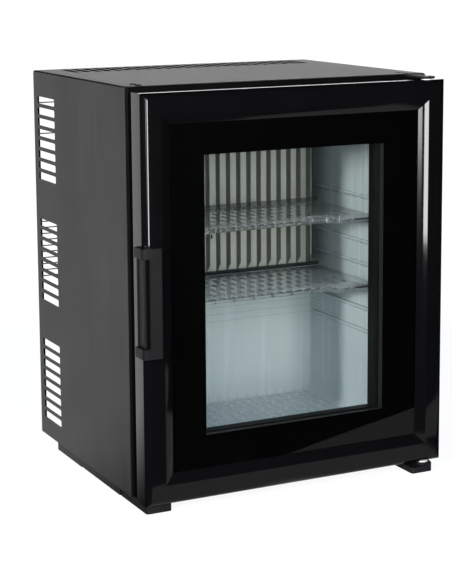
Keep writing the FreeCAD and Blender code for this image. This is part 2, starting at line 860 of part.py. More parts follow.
def make_inner_frame():
    """The rear moulding, with the aperture and the bead that covers the foam behind the glass."""
    plate_front = door_thickness - inner_plate
    rise_back = door_thickness + inner_rise
    wall_side = aperture_side_margin - aperture_wall
    wall_end = aperture_end_margin - aperture_wall
    bead_side, bead_end = aperture_side_margin - glazing_bead_width, aperture_end_margin - glazing_bead_width
    bead_back = inner_frame_front + glazing_bead_thickness
    start = rise_start + rise_slope
    profile = [(door_wall, door_wall, plate_front), (slope_wall_start, slope_wall_start, plate_front),
               (rise_plate_start, rise_plate_start, rise_back - inner_plate),
               (wall_side, wall_end, rise_back - inner_plate), (wall_side, wall_end, bead_back),
               (bead_side, bead_end, bead_back), (bead_side, bead_end, inner_frame_front),
               (aperture[0], aperture[1], inner_frame_front), (aperture[0], aperture[1], rise_back),
               (start, start, rise_back), (rise_start, rise_start, door_thickness),
               (door_wall, door_wall, door_thickness)]
    return mitred_ring(profile, door_xs, door_zs, door_front)


def make_print():
    """The black printed border on the back of the outer pane."""
    pane = door_pane(glass_edge, glass_edge, print_front, spacer_front)
    return pane.cut(door_pane(print_side_margin, print_end_margin, 0, door_thickness))


def make_spacer():
    """The dark spacer between the two panes."""
    outer = door_pane(spacer_side - spacer_width, spacer_end - spacer_width, spacer_front, inner_glass_front)
    return outer.cut(door_pane(spacer_side, spacer_end, 0, door_thickness))


def make_door_foam(pieces):
    """Foam between the two mouldings, around the glazing."""
    plate_front = door_thickness - inner_plate
    rise_front = door_thickness + inner_rise - inner_plate
    wall_side = aperture_side_margin - aperture_wall
    wall_end = aperture_end_margin - aperture_wall
    profile = [(door_wall, door_wall, door_wall), (wall_side, wall_end, door_wall),
               (wall_side, wall_end, rise_front), (rise_plate_start, rise_plate_start, rise_front),
               (slope_wall_start, slope_wall_start, plate_front), (door_wall, door_wall, plate_front)]
    foam = mitred_ring(profile, door_xs, door_zs, door_front)
    block_all = pieces + [top_bush_hole, bottom_bush_hole] + handle_screws
    foam = cut_all(foam, block_all)
    return max(foam.Solids, key=lambda s: s.Volume)


def gasket_depths():
    """The gasket's base plane and its sealing face, behind the door's front plane."""
    sealing = door_thickness + door_gap - front_frame_thickness - running_gap
    return door_thickness, sealing


def make_magnets():
    """Four magnetic strips inside the gasket's head."""
    sealing = gasket_depths()[1]
    high = sealing - magnet_cover
    outer = gasket_inset + magnet_inset
    bars = []
    for upright in (True, False):
        for far in (True, False):
            reach = outer + (0 if upright else magnet_width)
            xs = (left + reach, right - reach)
            zs = (door_bottom + outer, door_top - outer)
            if upright:
                xs = (xs[1] - magnet_width, xs[1]) if far else (xs[0], xs[0] + magnet_width)
            else:
                zs = (zs[1] - magnet_width, zs[1]) if far else (zs[0], zs[0] + magnet_width)
            bars.append(block(xs, (door_front + high - magnet_height, door_front + high), zs))
    return bars


def make_gasket(magnets):
    """A waisted rubber seal around the door's back."""
    base, sealing = gasket_depths()
    outer = gasket_inset
    inner = gasket_inset + gasket_width
    waist = base + gasket_base
    head = sealing - gasket_head
    profile = [(outer, outer, base), (inner, inner, base),
               (inner - gasket_waist, inner - gasket_waist, waist),
               (inner, inner, head), (inner, inner, sealing), (outer, outer, sealing),
               (outer, outer, head), (outer + gasket_waist, outer + gasket_waist, waist)]
    ring = mitred_ring(profile, door_xs, door_zs, door_front)
    return cut_all(ring, magnets)


# Shelves
def make_shelf(rail):
    """A clear tray with a lip. Its plate is raised, and a notch in front leaves room for tall bottles."""
    low = rail_top(rail) + running_gap
    xs = (liner_left + shelf_side_gap, liner_right - shelf_side_gap)
    ys = (shell_front + shelf_front_setback, liner_back - shelf_rear_gap)
    plate = block(xs, ys, (low, low + shelf_plate))
    notch = block((xs[0] + shelf_arm_width, xs[1] - shelf_arm_width),
                  (ys[0] - overall_depth, shell_front + shelf_notch_setback),
                  (low - cut_overrun, low + shelf_plate + cut_overrun))
    notch = rounded(notch, shelf_corner_radius, 2, lambda c: c.y > ys[0])
    plate = rounded(plate.cut(notch), shelf_corner_radius, 2, lambda c: c.y < ys[0] + shelf_corner_radius)
    floor = [f for f in plate.Faces if near(f.BoundBox.ZMax, low)][0]
    outline = Part.Face(floor.OuterWire)
    inner = outline.makeOffset2D(-shelf_lip_thickness)
    lip = outline.cut(inner).extrude(Vec(0, 0, shelf_lip_height))
    slots = []
    first_row = ys[1] - shelf_slot_rear_margin - shelf_slot_length
    for x in centred(shelf_slot_columns, shelf_slot_pitch):
        for row in range(shelf_slot_rows):
            y = first_row - row * shelf_slot_row_pitch
            slot = block((x - shelf_slot_width / 2, x + shelf_slot_width / 2), (y, y + shelf_slot_length),
                         (low - cut_overrun, low + shelf_plate + cut_overrun))
            slots.append(rounded(slot, shelf_slot_radius, 2))
    plate = cut_all(plate, slots).translated(Vec(0, 0, shelf_plate_lift))
    rib_start = shell_front + shelf_notch_setback + shelf_lip_thickness / 2
    ribs = [block((x - shelf_rib_thickness / 2, x + shelf_rib_thickness / 2),
                  (rib_start, rib_start + shelf_rib_length), (low, low + shelf_plate_lift + shelf_plate / 2))
            for x in centred(shelf_rib_count, shelf_rib_pitch)]
    step = ys[0] + shelf_corner_radius
    above = (low + shelf_plate_lift + shelf_plate, low + shelf_lip_height + cut_overrun)
    rear = ys[1] - shelf_lip_thickness
    sides = [block(sorted((x, x + way * 2 * shelf_lip_thickness)), (step, rear), above)
             for x, way in ((xs[0], 1), (xs[1], -1))]
    return fuse_all([plate, cut_all(lip, sides)] + ribs)


# Hot side and rear compartment
def make_hot_sink():
    """A ribbed aluminium block behind the module, with bores for the heat pipes."""
    xs = (-hot_sink_width / 2, hot_sink_width / 2)
    zs = (module_z - hot_sink_height / 2, module_z + hot_sink_height / 2)
    base_back = panel_back + hot_base
    pieces = [block(xs, (panel_back, base_back), zs)]
    fin_count = int((hot_sink_width - 2 * hot_fin_margin) / hot_fin_pitch) + 1
    for x in centred(fin_count, hot_fin_pitch):
        fin_xs = (x - hot_fin_thickness / 2, x + hot_fin_thickness / 2)
        pieces.append(block(fin_xs, (base_back, shell_back - hot_fin_rear_gap), zs))
    return cut_all(fuse_all(pieces), heat_pipes + hot_sink_screws)


def make_heat_pipes():
    """Copper pipes that spread the heat sideways through the block."""
    reach = hot_sink_width / 2 - heat_pipe_end_gap
    y = panel_back + hot_base / 2
    return [rod((-reach, y, module_z + z), (reach, y, module_z + z), heat_pipe_radius)
            for z in centred(heat_pipe_count, heat_pipe_pitch)]


heat_pipes = make_heat_pipes()


def wire_grille(heights, stays):
    """Cross wires and the upright stays that carry them, as one welded piece."""
    wire_y = shell_back - sheet - wire_radius
    stay_y = wire_y - wire_radius - stay_radius + wire_radius / 2
    reach = cabinet_width / 2 - sheet - wire_end_gap
    pieces = [rod((-reach, wire_y, z), (reach, wire_y, z), wire_radius) for z in heights]
    ends = (heights[0] - stay_overhang, heights[-1] + stay_overhang)
    pieces += [rod((x, stay_y, ends[0]), (x, stay_y, ends[1]), stay_radius) for x in stays]
    return fuse_all(pieces)


def make_rear_guard():
    """Two wire grilles across the open rear."""
    lower = [shell_bottom + wire_lift + i * wire_pitch for i in range(wire_count)]
    upper = [shell_top - upper_wire_drop - i * upper_wire_pitch for i in range(upper_wire_count)]
    upper.sort()
    stays = centred(stay_count, stay_spacing)
    return [wire_grille(lower, stays), wire_grille(upper, stays)]


box_xs = (-box_width / 2, box_width / 2)
box_ys = (panel_back, shell_back - box_rear_gap)
box_zs = (base_top, base_top + box_height)
inlet_x = box_xs[0] + inlet_side_shift
inlet_z = (box_zs[0] + box_zs[1]) / 2
lid_front = box_ys[1] - box_lid


def lid_screw_places():
    """The four corners of the control box's lid."""
    xs = (box_xs[0] + lid_screw_margin, box_xs[1] - lid_screw_margin)
    zs = (box_zs[0] + lid_screw_margin, box_zs[1] - lid_screw_margin)
    return [(x, z) for x in xs for z in zs]


def make_lid_screws():
    """Small screws that hold the lid."""
    screws = []
    for x, z in lid_screw_places():
        head = rod((x, box_ys[1], z), (x, box_ys[1] + lid_screw_head, z), lid_screw_head_radius)
        shank = rod((x, box_ys[1] - lid_screw_length, z), (x, box_ys[1], z), lid_screw_radius)
        screws.append(fuse_all([head, shank]))
    return screws


lid_screws = make_lid_screws()
board_xs = (box_xs[0] + board_margin + lid_screw_margin, box_xs[1] - board_margin - lid_screw_margin)
board_zs = (box_zs[0] + board_margin, box_zs[1] - board_margin)
board_front = box_ys[0] + box_wall + board_stand_off


def make_control_box():
    """The plastic box of the power supply, open to the rear, with posts for the board."""
    outer = rounded(block(box_xs, (box_ys[0], lid_front), box_zs), box_corner_radius, 1)
    inner = block((box_xs[0] + box_wall, box_xs[1] - box_wall),
                  (box_ys[0] + box_wall, box_ys[1]),
                  (box_zs[0] + box_wall, box_zs[1] - box_wall))
    inner = rounded(inner, box_corner_radius - box_wall, 1)
    shell = outer.cut(inner)
    posts = []
    for x, z in lid_screw_places():
        posts.append(rod((x, box_ys[0] + box_wall, z), (x, lid_front, z), lid_screw_head_radius))
    for x in (board_xs[0] + board_margin, board_xs[1] - board_margin):
        for z in (board_zs[0] + board_margin, board_zs[1] - board_margin):
            posts.append(rod((x, box_ys[0] + box_wall, z), (x, board_front, z), board_post_radius))
    body = fuse_all([shell] + posts)
    return cut_all(body, lid_screws)


def make_lid():
    """The lid of the control box with the inlet's cut-out."""
    lid = rounded(block(box_xs, (lid_front, box_ys[1]), box_zs), box_corner_radius, 1)
    hole = block((inlet_x - inlet_width / 2, inlet_x + inlet_width / 2),
                 (lid_front - cut_overrun, box_ys[1] + cut_overrun),
                 (inlet_z - inlet_height / 2, inlet_z + inlet_height / 2))
    return cut_all(lid, [hole] + lid_screws)


def make_board():
    """The circuit board with its tallest components."""
    back = board_front + board_thickness
    pieces = [block(board_xs, (board_front, back), board_zs)]
    x = inlet_x + inlet_width
    for height, width in zip(component_heights, component_widths):
        low = board_zs[0] + component_height_lift
        pieces.append(block((x, x + width), (back, back + height), (low, low + component_rise)))
        x += width + component_gap
    return fuse_all([pieces[0]] + [p for p in pieces[1:] if p.BoundBox.XMax < board_xs[1]])


def make_inlet():
    """A three pin mains inlet, set into the lid."""
    half_w, half_h = inlet_width / 2, inlet_height / 2
    back = box_ys[1]
    tub = block((inlet_x - half_w, inlet_x + half_w), (back - inlet_depth, back),
                (inlet_z - half_h, inlet_z + half_h))
    flange = block((inlet_x - half_w - inlet_flange, inlet_x + half_w + inlet_flange),
                   (back, back + inlet_flange_thickness),
                   (inlet_z - half_h - inlet_flange, inlet_z + half_h + inlet_flange))
    cavity = block((inlet_x - half_w + inlet_wall, inlet_x + half_w - inlet_wall),
                   (back - inlet_depth + inlet_wall, back + inlet_flange_thickness + cut_overrun),
                   (inlet_z - half_h + inlet_wall, inlet_z + half_h - inlet_wall))
    return fuse_all([tub, flange]).cut(cavity)


def make_inlet_pins():
    """The inlet's three flat contact pins."""
    floor = box_ys[1] - inlet_depth + inlet_wall
    pins = []
    half_pin = inlet_pin_thickness / 2
    for offset in (-inlet_pin_pitch, 0, inlet_pin_pitch):
        lift = inlet_pin_height / 2 if offset == 0 else -inlet_pin_height / 2
        x = inlet_x + offset
        z = inlet_z + lift
        pins.append(block((x - half_pin, x + half_pin), (floor, floor + inlet_pin_length),
                          (z - inlet_pin_height / 2, z + inlet_pin_height / 2)))
    return pins


# Every piece under its own name
base_pan = make_base_pan()
outer_glass = door_pane(glass_edge, glass_edge, glass_front, print_front)
inner_glass = door_pane(spacer_side - spacer_width, spacer_end - spacer_width,
                        inner_glass_front, inner_frame_front)
door_frame = make_door_frame()
door_inner_frame = make_inner_frame()
window_print = make_print()
glass_spacer = make_spacer()
gasket_magnets = make_magnets()

pieces = {
    "outer_shell": make_outer_shell(),
    "base_pan": base_pan,
    "rear_panel": make_rear_panel(),
    "inner_liner": make_liner(),
    "insulation": make_insulation(),
    "front_frame": make_front_frame(),
    "cold_sink": make_cold_sink(),
    "drip_gutter": make_gutter(),
    "temperature_sensor": make_sensor(),
    "cold_block": cold_block,
    "peltier_module": peltier_module,
    "hot_sink": make_hot_sink(),
    "heat_pipes": heat_pipes,
    "hot_sink_screws": hot_sink_screws,
    "rear_guard": make_rear_guard(),
    "control_box": make_control_box(),
    "control_box_lid": make_lid(),
    "control_box_screws": lid_screws,
    "circuit_board": make_board(),
    "mains_inlet": make_inlet(),
    "mains_inlet_pins": make_inlet_pins(),
    "skid_left": skid_left,
    "skid_right": skid_right,
    "foot_front_left": foot_front_left,
    "foot_front_right": foot_front_right,
    "foot_screws": foot_screws,
    "top_hinge_plate": top_hinge,
    "top_hinge_pin": top_pin,
    "top_hinge_screws": top_screws,
    "top_hinge_plugs": top_plugs,
    "lower_hinge_plate": lower_hinge,
    "lower_hinge_pin": lower_pin,
    "lower_hinge_screws": lower_screws,
    "door_frame": door_frame,
    "door_inner_frame": door_inner_frame,
    "door_foam": make_door_foam([door_frame, door_inner_frame, outer_glass, window_print,
                                 glass_spacer, inner_glass]),
    "outer_glass": outer_glass,
    "window_print": window_print,
    "glass_spacer": glass_spacer,
    "inner_glass": inner_glass,
    "door_gasket": make_gasket(gasket_magnets),
    "gasket_magnets": gasket_magnets,
    "door_handle": make_handle(),
    "handle_base": make_handle_base(),
    "handle_screws": handle_screws,
    "door_top_bush": door_top_bush,
    "door_bottom_bush": door_bottom_bush,
    "upper_shelf": make_shelf(upper_shelf_rail_count),
    "lower_shelf": make_shelf(lower_shelf_rail_count),
}

os.makedirs("parts", exist_ok=True)
for name, shape in pieces.items():
    if isinstance(shape, list):
        shape = Part.makeCompound(shape)
    shape.exportStep("parts/" + name + ".step")
    size = shape.BoundBox
    print(name, len(shape.Solids), "solids, valid", shape.isValid(),
          "%.1f x %.1f x %.1f" % (size.XLength, size.YLength, size.ZLength))
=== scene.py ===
# %% [markdown]
# # A small fridge with a glass door
#
# This lesson dresses a fridge of about forty litres that was drawn in a CAD program and packed
# as a fixed frame. The frame keeps every size and every joint. Blender adds what a
# camera sees: paint with a grain, gloss that mirrors the room, clear glass, bare metal.
#
# A piece whose CAD shape is right keeps it and only gets a finish. A piece whose edges would
# look too sharp, or whose folds matter, is made again here and stands in for its CAD solid.

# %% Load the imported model
import json
import math

import bmesh
import bpy
import numpy as np
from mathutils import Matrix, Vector


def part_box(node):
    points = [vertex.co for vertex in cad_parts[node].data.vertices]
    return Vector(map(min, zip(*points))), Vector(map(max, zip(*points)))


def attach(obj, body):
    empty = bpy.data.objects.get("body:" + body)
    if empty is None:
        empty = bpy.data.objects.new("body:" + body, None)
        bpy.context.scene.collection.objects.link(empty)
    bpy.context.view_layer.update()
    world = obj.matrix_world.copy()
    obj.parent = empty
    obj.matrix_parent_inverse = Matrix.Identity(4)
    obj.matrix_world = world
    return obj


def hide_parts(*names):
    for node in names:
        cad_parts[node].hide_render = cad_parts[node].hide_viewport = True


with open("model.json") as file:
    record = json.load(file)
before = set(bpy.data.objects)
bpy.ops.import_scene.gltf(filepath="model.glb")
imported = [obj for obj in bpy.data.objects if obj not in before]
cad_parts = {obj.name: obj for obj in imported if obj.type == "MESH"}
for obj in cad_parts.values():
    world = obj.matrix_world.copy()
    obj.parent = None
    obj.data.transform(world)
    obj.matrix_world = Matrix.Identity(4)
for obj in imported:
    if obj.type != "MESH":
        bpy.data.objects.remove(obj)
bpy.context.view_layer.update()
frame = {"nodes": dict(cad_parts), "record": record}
MM = 0.001
print("pieces in the frame:", len(frame["nodes"]))

# %% [markdown]
# ## Planes that the new pieces share
#
# Nothing is read from the CAD file but the boxes of its solids. The door's box gives the planes
# that the moulding, the seal and the glass are built on, so a piece made here always
# lies where its solid does.

# %% Read the door's planes
shell_low, shell_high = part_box("outer_shell")
door_low, door_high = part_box("door_frame")
door_front = door_low.y
print("door is %.0f by %.0f mm" % tuple(v / MM for v in (door_high - door_low).xz))

# %% [markdown]
# ## Sums on shader sockets
#
# A shader is a formula, so it is easier to read as one. Nodes could be wired by hand in the
# editor, but a formula shows at a glance what depends on what. `Signal` wraps a socket:
# adding or multiplying two of them adds a Math node.


# %% Wrap a socket
class Signal:
    """A shader socket that works in sums: each operator adds one Math node."""

    def __init__(self, finish, socket):
        self.finish, self.socket = finish, socket

    def maths(self, operation, *values):
        return self.finish.node("ShaderNodeMath", dict(enumerate(values)), operation=operation)

    def __add__(self, other):
        return self.maths("ADD", self, other)

    def __sub__(self, other):
        return self.maths("SUBTRACT", self, other)

    def __rsub__(self, other):
        return self.maths("SUBTRACT", other, self)

    def __mul__(self, other):
        return self.maths("MULTIPLY", self, other)

    def power(self, other):
        return self.maths("POWER", self, other)

    def within(self, low, high):
        """0 below low, 1 above high, and a smooth rise between them. With low above high it is
        1 below high and falls instead."""
        values = {"Value": self, "From Min": low, "From Max": high}
        return self.finish.node("ShaderNodeMapRange", values, interpolation_type="SMOOTHSTEP")

    def size(self):
        return self.maths("ABSOLUTE", self)

    def most(self, other):
        return self.maths("MAXIMUM", self, other)

    __radd__, __rmul__ = __add__, __mul__


# %% [markdown]
# ## One class for every material
#
# `Finish` is one material, or the world. Its `node` method makes any node from its type, its
# settings and what goes into its sockets. Its other methods are the nodes that most finishes
# of this fridge share: noise, a blend of two colours, a bump and the main shader.


# %% Wrap a material
class Finish:
    """One material or world, with its node tree built by calls instead of by hand."""

    def __init__(self, name, holder=None, output="ShaderNodeOutputMaterial"):
        self.material = holder or bpy.data.materials.new(name)
        self.material.use_nodes = True
        self.tree = self.material.node_tree
        self.tree.nodes.clear()
        self.output = self.tree.nodes.new(output)

    def node(self, kind, values=None, out=0, **settings):
        """A new node: its settings first, then a value or a link for each socket."""
        made = self.tree.nodes.new(kind)
        for key, value in settings.items():
            setattr(made, key, value)
        for key, value in (values or {}).items():
            self.put(made.inputs[key], value)
        return Signal(self, made.outputs[out])

    def put(self, socket, value):
        if isinstance(value, Signal):
            self.tree.links.new(value.socket, socket)
        else:
            socket.default_value = value

    def axis(self, letter, source="Object"):
        """One coordinate of the point that is shaded, in metres for Object."""
        where = self.node("ShaderNodeTexCoord", out=source)
        return self.node("ShaderNodeSeparateXYZ", {"Vector": where}, out=letter)

    def finish_with(self, shader):
        self.put(self.output.inputs["Surface"], shader)
        return self.material

    def place(self, stretch=(1, 1, 1)):
        """Object coordinates in metres, stretched along each axis."""
        where = self.node("ShaderNodeTexCoord", out="Object")
        return self.node("ShaderNodeMapping", {"Vector": where, "Scale": stretch})

    def noise(self, size, stretch=(1, 1, 1), detail=3.0, roughness=0.5):
        """Soft noise from 0 to 1 whose blotches are about size metres across."""
        where = self.place(tuple(v / size for v in stretch))
        values = {"Vector": where, "Scale": 1.0, "Detail": detail, "Roughness": roughness}
        return self.node("ShaderNodeTexNoise", values)

    def blend(self, factor, one, two):
        """A colour between two colours, each a triple or a socket. The Mix node has a set of
        sockets for each type of data, and those for colours are inputs 6 and 7 and output 2."""
        one, two = (v if isinstance(v, Signal) else (*v, 1) for v in (one, two))
        return self.node("ShaderNodeMix", {0: factor, 6: one, 7: two}, out=2, data_type="RGBA")

    def mix(self, factor, one, two):
        """One shader at factor 0, the other at factor 1."""
        return self.node("ShaderNodeMixShader", {0: factor, 1: one, 2: two})

    def ray(self, kind):
        """1 for light of that kind and 0 for other light."""
        return self.node("ShaderNodeLightPath", out="Is %s Ray" % kind)

    def bump(self, height, distance, strength=1.0):
        """A normal that follows a height, with the distance in metres."""
        values = {"Height": height, "Distance": distance, "Strength": strength}
        return self.node("ShaderNodeBump", values)

    def surface(self, **values):
        """Finish with the Principled shader: a name such as base_color is its socket."""
        names = {key.replace("_", " ").title(): value for key, value in values.items()}
        names = {k.replace("Ior", "IOR"): v for k, v in names.items()}
        return self.finish_with(self.node("ShaderNodeBsdfPrincipled", names))


# %% [markdown]
# ## Paint on the cabinet
#
# The sheet steel has a charcoal powder coat with a faint upright grain. A picture of the grain
# would repeat. Noise that is stretched along Z gives streaks a millimetre wide and a few
# centimetres tall, and it never repeats, so the same noise tints the colour, breaks up
# the gloss and raises the surface by a hair. Inside the sheet the colour is near black and dull:
# that is painted shade, so the vents look black.


# %% Mix the cabinet paint
inner_shade_depth, coat_depth = 0.0006, 0.0003


def cabinet_paint():
    """Powder coat down to coat_depth below the outer faces, and past the deeper set depth a
    near-black dull colour: painted shade inside the sheet.
    """
    finish = Finish("charcoal_powder_coat")
    grain = finish.noise(0.0045, (1, 1, 0.03), detail=5.0, roughness=0.65)
    speck = finish.noise(0.0006, detail=2.0)
    cloud = finish.noise(0.12, detail=2.0)
    tone = grain * 0.75 + cloud * 0.25
    coat = finish.blend(tone.within(0.25, 0.75), (0.003, 0.003, 0.003), (0.033, 0.033, 0.033))
    x, y, z = (finish.axis(letter) for letter in "XYZ")
    outside = x.size().within(shell_high.x - inner_shade_depth, shell_high.x - coat_depth)
    for reach, edge in ((z, shell_high.z), (y, shell_high.y), (0.0 - y, -shell_low.y)):
        outside = outside.most(reach.within(edge - inner_shade_depth, edge - coat_depth))
    # Painted shade: past the inner depth the sheet's inside takes the near-black colour.
    colour = finish.blend(outside, (0.001, 0.001, 0.001), coat)
    normal = finish.bump(grain * 0.7 + speck * 0.3, 0.00008, 0.7)
    gloss = (0.95 - 0.65 * outside) + 0.24 * grain * outside
    return finish.surface(base_color=colour, roughness=gloss, specular_ior_level=0.14,
                          normal=normal)


# %% [markdown]
# ## Plastics
#
# The feet, the handle and the frame round the cabinet's mouth have the dull grain of an etched
# mould. Colour, gloss and grain size are arguments, so one function makes the whole family.
# The door moulding is polished until it mirrors the room, so it has no grain, only the slow
# ripple and the wiping marks that tell polished plastic from glass.


# %% Mix the plastics
def moulded(name, dark, light, roughness, grain=0.0004, depth=0.00002, specular=0.5):
    """Etched plastic: fine grain in the height, slow patches in the colour and the gloss."""
    finish = Finish(name)
    fine = finish.noise(grain, detail=2.0)
    slow = finish.noise(0.05, detail=3.0)
    colour = finish.blend(slow * 0.6 + fine * 0.4, dark, light)
    return finish.surface(base_color=colour, roughness=(roughness - 0.06) + 0.12 * slow,
                          specular_ior_level=specular, normal=finish.bump(fine, depth))


def polished_black():
    """The door: near black, a slow ripple from the mould and faint wiping marks in the gloss."""
    finish = Finish("polished_black_moulding")
    ripple = finish.noise(0.02, detail=1.0)
    wipes = finish.noise(0.03, (1, 1, 0.25), detail=4.0)
    colour = finish.blend(wipes, (0.0018, 0.0018, 0.002), (0.003, 0.003, 0.0032))
    return finish.surface(base_color=colour, roughness=0.06 + 0.05 * wipes.power(2.0),
                          specular_ior_level=0.5, normal=finish.bump(ripple, 0.00003, 0.5))


# %% [markdown]
# ## The pale liner
#
# The compartment is a pale sheet that was drawn over a mould while hot, which leaves it slightly
# uneven. Where the mould had joints, hairlines show. They are too shallow to cut into the mesh,
# so the colour alone draws them, from the place of each point.


# %% Mix the liner
joint_height, joint_pitch, floor_joint_pitch = 0.1967, 0.00528, 0.008
joint_band, joint_band_half = 0.186, 0.013
floor_top, back_wall = 0.06, 0.055
corner_y, corner_z, corner_painted_shade = (0.02, 0.075), (0.24, 0.27), 0.75


def drawn_liner():
    """The compartment: pale sheet with faint drawing marks. Where the mould had joints there are
    hairlines: level ones low on the back wall, and ones that run front to back on the floor.
    A ping-pong wave is 0 once in every two pitches, and a hairline lies where it is near 0.
    High up at the back, round the cold plate, the colour is darkened there: painted shade."""
    finish = Finish("pale_liner")
    x, y, z = (finish.axis(letter) for letter in "XYZ")
    slow = finish.noise(0.06, detail=3.0)
    drawn = finish.noise(0.006, (1, 1, 0.02), detail=2.0)
    level = z.maths("PINGPONG", z - joint_height, joint_pitch).within(0.0002, 0.0013)
    band = (z - joint_band).size().within(joint_band_half + 0.001, joint_band_half)
    back = y.within(back_wall, back_wall + 0.005) * band
    along = x.maths("PINGPONG", x, floor_joint_pitch).within(0.0003, 0.0018)
    floor = 1.0 - z.within(floor_top, floor_top + 0.005)
    marks = back * (1.0 - level) + floor * (1.0 - along)
    tone = slow * 0.5 + drawn * 0.5
    clean = finish.blend(tone, (0.63, 0.69, 0.71), (0.68, 0.735, 0.75))
    # Painted shade: the colour turns dark in the corner round the cold plate.
    shade = y.within(*corner_y) * z.within(*corner_z) * corner_painted_shade
    marked = finish.blend(marks * 0.5, clean, (0.42, 0.5, 0.53))
    colour = finish.blend(shade, marked, (0.16, 0.2, 0.2))
    return finish.surface(base_color=colour, roughness=0.2 + 0.12 * drawn, specular_ior_level=0.5,
                          normal=finish.bump(drawn, 0.00002, 0.6))


# %% [markdown]
# ## Window glass
#
# Real refraction through two panes darkens a render and makes it slow, and what lies behind
# a flat pane hardly moves. So each face is a mix of a mirror and a tint that light goes straight
# through. The mirror's share follows the rule for glass: 4 percent head on, and more
# and more towards grazing angles.


# %% Mix the window glass
def window_glass():
    """A flat pane: mirror share = 0.04 + 0.96 * facing ** 5, and a faint green tint besides."""
    finish = Finish("window_glass")
    facing = finish.node("ShaderNodeLayerWeight", {"Blend": 0.5}, out="Facing")
    through = finish.node("ShaderNodeBsdfTransparent", {"Color": (0.965, 0.975, 0.97, 1)})
    shine = finish.node("ShaderNodeBsdfPrincipled",
                        {"Base Color": (0.95, 0.97, 0.98, 1), "Metallic": 1.0, "Roughness": 0.0})
    mirror = 0.04 + 0.96 * facing.power(5.0)
    return finish.finish_with(finish.mix(mirror, through, shine))


# %% [markdown]
# ## Clear plastic
#
# The shelves are moulded in clear plastic. What makes them look like plastic is that light bends
# at their lips and slots and comes out somewhere else, bright here and black there, so they
# get real refraction. A solid that bends light also blocks the lamps, because the renderer
# can't aim at a lamp through it. For shadows alone, light therefore goes straight through.


# %% Mix the clear plastic
lip_width, highlight_setback, between_shelves = 0.0026, 0.0045, 0.3


def clear_plastic(rear):
    """Refracting plastic with a slightly wavy surface, which casts only a faint shadow. The lip
    along the rear edge is tinted dark as painted shade, less on the upper shelf. On the lower
    one a fine pale matt line in front of the lip is a painted highlight: its strength falls off
    with the distance from that line."""
    finish = Finish("clear_plastic")
    wave = finish.bump(finish.noise(0.007, detail=2.0), 0.00015)
    y, z = finish.axis("Y"), finish.axis("Z")
    upper = z.within(between_shelves, between_shelves + 0.01)
    # Painted shade: the rear lip's tint turns dark.
    shaded_lip = y.within(rear - lip_width - 0.0006, rear - lip_width) * (1.0 - 0.5 * upper)
    tint = finish.blend(shaded_lip, (0.95, 0.965, 0.98), (0.2, 0.21, 0.21))
    body = finish.node("ShaderNodeBsdfPrincipled", {
        "Base Color": tint, "Roughness": 0.02, "IOR": 1.49,
        "Transmission Weight": 0.94, "Normal": wave})
    # Painted highlight: a pale diffuse line in front of the lower shelf's rear lip.
    highlight_diffuse = finish.node("ShaderNodeBsdfDiffuse", {"Color": (0.85, 0.88, 0.9, 1)})
    painted_highlight_line = (y - rear + highlight_setback).size().within(0.0016, 0.0012) * (1.0 - upper)
    solid = finish.mix(painted_highlight_line * 0.7, body, highlight_diffuse)
    straight = finish.node("ShaderNodeBsdfTransparent", {"Color": (0.92, 0.94, 0.96, 1)})
    return finish.finish_with(finish.mix(finish.ray("Shadow"), solid, straight))


# %% [markdown]
# ## Bare metals
#
# The cold plate and the hot sink are extruded aluminium, with die lines along the fins. The
# base pan, rear panel and wire guard are zinc coated, which shows as large flat crystals. The
# crystals are Voronoi cells, and each cell gets its own gloss.


# %% Mix the metals
def drawn_metal(name, colour, roughness, along=(1, 1, 0.01), size=0.0007):
    """Extruded or drawn metal: noise that is stretched along the drawing direction."""
    finish = Finish(name)
    lines = finish.noise(size, along, detail=3.0)
    darker = tuple(v * 0.82 for v in colour)
    return finish.surface(base_color=finish.blend(lines, darker, colour), metallic=1.0,
                          roughness=(roughness - 0.05) + 0.1 * lines,
                          normal=finish.bump(lines, 0.00002, 0.5))


def blasted_metal(name, dark, light, flank_shade_colour, tips, roots):
    """Aluminium after blasting and anodising: more like a pale chalky paint than like a mirror.
    From tips to roots the flanks between the ribs get a darker colour: painted shade."""
    finish = Finish(name)
    lines = finish.noise(0.0011, (1, 1, 0.01), detail=3.0)
    fine = finish.noise(0.0005, detail=2.0)
    y = finish.axis("Y")
    # Painted shade: between rib tips and roots the flanks take the darker colour.
    between = y.within(tips, tips + 0.001) * (1.0 - y.within(roots - 0.001, roots))
    colour = finish.blend(between, finish.blend(lines, dark, light), flank_shade_colour)
    return finish.surface(base_color=colour, metallic=0.0,
                          roughness=0.6 + 0.12 * lines, specular_ior_level=0.2,
                          normal=finish.bump(lines * 0.5 + fine * 0.5, 0.00003, 0.5))


def zinc_coat():
    """Zinc coated sheet: flat crystals from Voronoi cells, a few millimetres across."""
    finish = Finish("zinc_coated_sheet")
    cells = finish.node("ShaderNodeTexVoronoi", {"Vector": finish.place(), "Scale": 160.0},
                        out="Color")
    shade = finish.node("ShaderNodeSeparateColor", {"Color": cells})
    colour = finish.blend(shade, (0.33, 0.34, 0.35), (0.52, 0.53, 0.54))
    return finish.surface(base_color=colour, metallic=1.0, roughness=0.3 + 0.2 * shade)


# %% [markdown]
# ## A finish for each slot
#
# The record names a material slot for every node. This table gives each slot its finish, and
# every CAD node then takes the one that its slot names.

